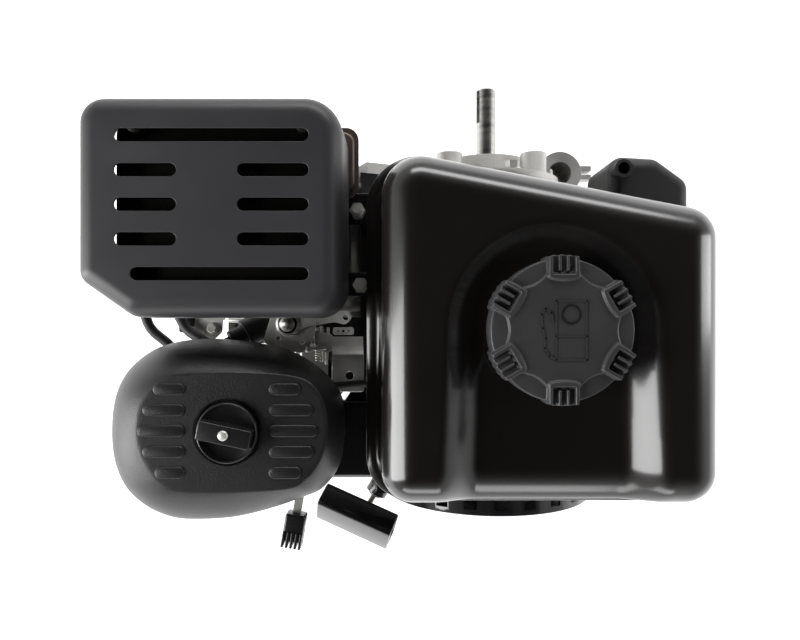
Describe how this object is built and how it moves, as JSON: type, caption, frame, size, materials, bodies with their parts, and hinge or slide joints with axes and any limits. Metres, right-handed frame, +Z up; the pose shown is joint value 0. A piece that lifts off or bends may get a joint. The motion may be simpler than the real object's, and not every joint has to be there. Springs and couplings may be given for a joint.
{
  "type": "small gasoline engine",
  "caption": "Horizontal-shaft air-cooled overhead-valve gasoline engine with top fuel tank, guarded muffler, air cleaner and pull starter.",
  "frame": {"origin": "middle of the four base bolts on the underside of the feet", "axes": "+Z up, +Y along the output shaft toward its free end, +X toward the fuel tank side"},
  "size_m": [0.379, 0.359, 0.318],
  "materials": {
    "cast_aluminium": "cast, lightly blasted",
    "machined_steel": "ground",
    "zinc_steel": "zinc plated",
    "rod_aluminium": "forged",
    "seal_rubber": "moulded",
    "gasket_fibre": "graphite faced",
    "black_paint": "gloss enamel",
    "guard_paint": "matte heat resistant",
    "muffler_steel": "heat tinted",
    "black_plastic": "textured",
    "cap_plastic": "satin",
    "grip_plastic": "polished",
    "filter_foam": "open foam",
    "rope_fibre": "braided",
    "plug_ceramic": "glazed",
    "cup_steel": "pressed"
  },
  "bodies": {
    "engine": {"air_cleaner_base": "black_plastic", "air_cleaner_cover": "black_plastic", "air_filter": "filter_foam", "blower_housing": "black_paint", "carburetor": "cast_aluminium", "control_bracket": "zinc_steel", "cover_bolts": "zinc_steel", "crankcase": "cast_aluminium", "crankcase_cover": "cast_aluminium", "cylinder_head": "cast_aluminium", "exhaust_spring": "machined_steel", "float_bowl": "rod_aluminium", "fuel_tank": "black_paint", "head_bolts": "zinc_steel", "head_gasket": "gasket_fibre", "heat_shield": "black_paint", "ignition_coil": "black_plastic", "ignition_lead": "seal_rubber", "intake_spring": "machined_steel", "main_bearings": "machined_steel", "muffler": "muffler_steel", "muffler_guard": "guard_paint", "oil_seals": "seal_rubber", "recoil_housing": "black_paint", "recoil_spring": "machined_steel", "rocker_shaft": "zinc_steel", "spark_plug": "plug_ceramic", "spark_plug_boot": "seal_rubber", "tank_bracket": "black_paint", "tank_studs": "zinc_steel", "valve_cover": "black_paint", "vapor_canister": "black_plastic"},
    "crank": {"crankshaft": "machined_steel", "flywheel": "cast_aluminium", "cooling_fan": "black_plastic", "starter_cup": "cup_steel", "flywheel_nut": "zinc_steel"},
    "cam": {"camshaft": "machined_steel"},
    "piston_set": {"piston": "rod_aluminium", "piston_rings": "machined_steel", "piston_pin": "machined_steel"},
    "rod_set": {"connecting_rod": "rod_aluminium", "rod_cap": "rod_aluminium", "crank_pin": "machined_steel"},
    "intake_push": {"intake_tappet": "machined_steel", "intake_pushrod": "machined_steel"},
    "exhaust_push": {"exhaust_tappet": "machined_steel", "exhaust_pushrod": "machined_steel"},
    "intake_rock": {"intake_rocker": "zinc_steel"},
    "exhaust_rock": {"exhaust_rocker": "zinc_steel"},
    "intake_pop": {"intake_valve": "machined_steel"},
    "exhaust_pop": {"exhaust_valve": "machined_steel"},
    "pulley": {"recoil_pulley": "black_plastic"},
    "grip": {"starter_grip": "grip_plastic", "starter_rope": "rope_fibre"},
    "cap": {"fuel_cap": "cap_plastic"},
    "cleaner_knob": {"air_cleaner_knob": "black_plastic"},
    "choke": {"choke_lever": "zinc_steel", "choke_knob": "black_plastic"},
    "throttle": {"throttle_lever": "zinc_steel"}
  },
  "joints": [
    {"name": "crank_spin", "type": "hinge", "parent": "engine", "child": "crank", "pos_m": [0.015, 0, 0.106], "axis": [0, 1, 0], "continuous": true},
    {"name": "cam_spin", "type": "hinge", "parent": "engine", "child": "cam", "pos_m": [-0.03196, 0, 0.07935], "axis": [0, 1, 0], "continuous": true},
    {"name": "piston_slide", "type": "slide", "parent": "engine", "child": "piston_set", "axis": [-0.9063, 0, 0.4226], "range_m": [-0.045, 0]},
    {"name": "rod_swing", "type": "hinge", "parent": "piston_set", "child": "rod_set", "pos_m": [-0.08152, 0, 0.15101], "axis": [0, 1, 0], "range_deg": [-8, 8]},
    {"name": "intake_rocker_tip", "type": "hinge", "parent": "engine", "child": "intake_rock", "pos_m": [-0.15296, -0.0145, 0.16226], "axis": [0, 1, 0], "range_deg": [0, 12], "stiffness_Nm_per_rad": 2.9},
    {"name": "intake_valve_lift", "type": "slide", "parent": "engine", "child": "intake_pop", "axis": [0.9063, 0, -0.4226], "range_m": [0, 0.00505], "deforming": ["intake_spring"]},
    {"name": "intake_push_lift", "type": "slide", "parent": "engine", "child": "intake_push", "axis": [-0.9063, 0, 0.4226], "range_m": [0, 0.00498]},
    {"name": "exhaust_rocker_tip", "type": "hinge", "parent": "engine", "child": "exhaust_rock", "pos_m": [-0.15296, 0.0145, 0.16226], "axis": [0, 1, 0], "range_deg": [0, 12], "stiffness_Nm_per_rad": 2.9},
    {"name": "exhaust_valve_lift", "type": "slide", "parent": "engine", "child": "exhaust_pop", "axis": [0.9063, 0, -0.4226], "range_m": [0, 0.00505], "deforming": ["exhaust_spring"]},
    {"name": "exhaust_push_lift", "type": "slide", "parent": "engine", "child": "exhaust_push", "axis": [-0.9063, 0, 0.4226], "range_m": [0, 0.00498]},
    {"name": "starter_pull", "type": "slide", "parent": "engine", "child": "grip", "axis": [-0.515, -0.8572, 0], "range_m": [0, 0.3], "deforming": ["starter_rope"]},
    {"name": "pulley_spin", "type": "hinge", "parent": "engine", "child": "pulley", "pos_m": [0.015, 0, 0.106], "axis": [0, 1, 0], "range_deg": [0, 290]},
    {"name": "cap_turn", "type": "hinge", "parent": "engine", "child": "cap", "pos_m": [0.0276, -0.0553, 0.3], "axis": [0, 0, 1], "range_deg": [0, 90]},
    {"name": "knob_turn", "type": "hinge", "parent": "engine", "child": "cleaner_knob", "pos_m": [-0.154, -0.114, 0.275], "axis": [0, 0, 1], "range_deg": [0, 360]},
    {"name": "choke_swing", "type": "hinge", "parent": "engine", "child": "choke", "pos_m": [-0.1177, -0.131, 0.204], "axis": [0, 0, 1], "range_deg": [-10, 12]},
    {"name": "throttle_swing", "type": "hinge", "parent": "engine", "child": "throttle", "pos_m": [-0.1296, -0.0524, 0.2155], "axis": [0, 0, 1], "range_deg": [-35, 5]}
  ],
  "couplings": [
    {"joint": "cam_spin", "follows": "crank_spin", "ratio": -0.5},
    {"joint": "pulley_spin", "follows": "starter_pull", "rad_per_m": 16.667},
    {"joint": "intake_valve_lift", "follows": "intake_rocker_tip", "m_per_rad": 0.024},
    {"joint": "intake_push_lift", "follows": "intake_rocker_tip", "m_per_rad": 0.0237},
    {"joint": "exhaust_valve_lift", "follows": "exhaust_rocker_tip", "m_per_rad": 0.024},
    {"joint": "exhaust_push_lift", "follows": "exhaust_rocker_tip", "m_per_rad": 0.0237}
  ]
}
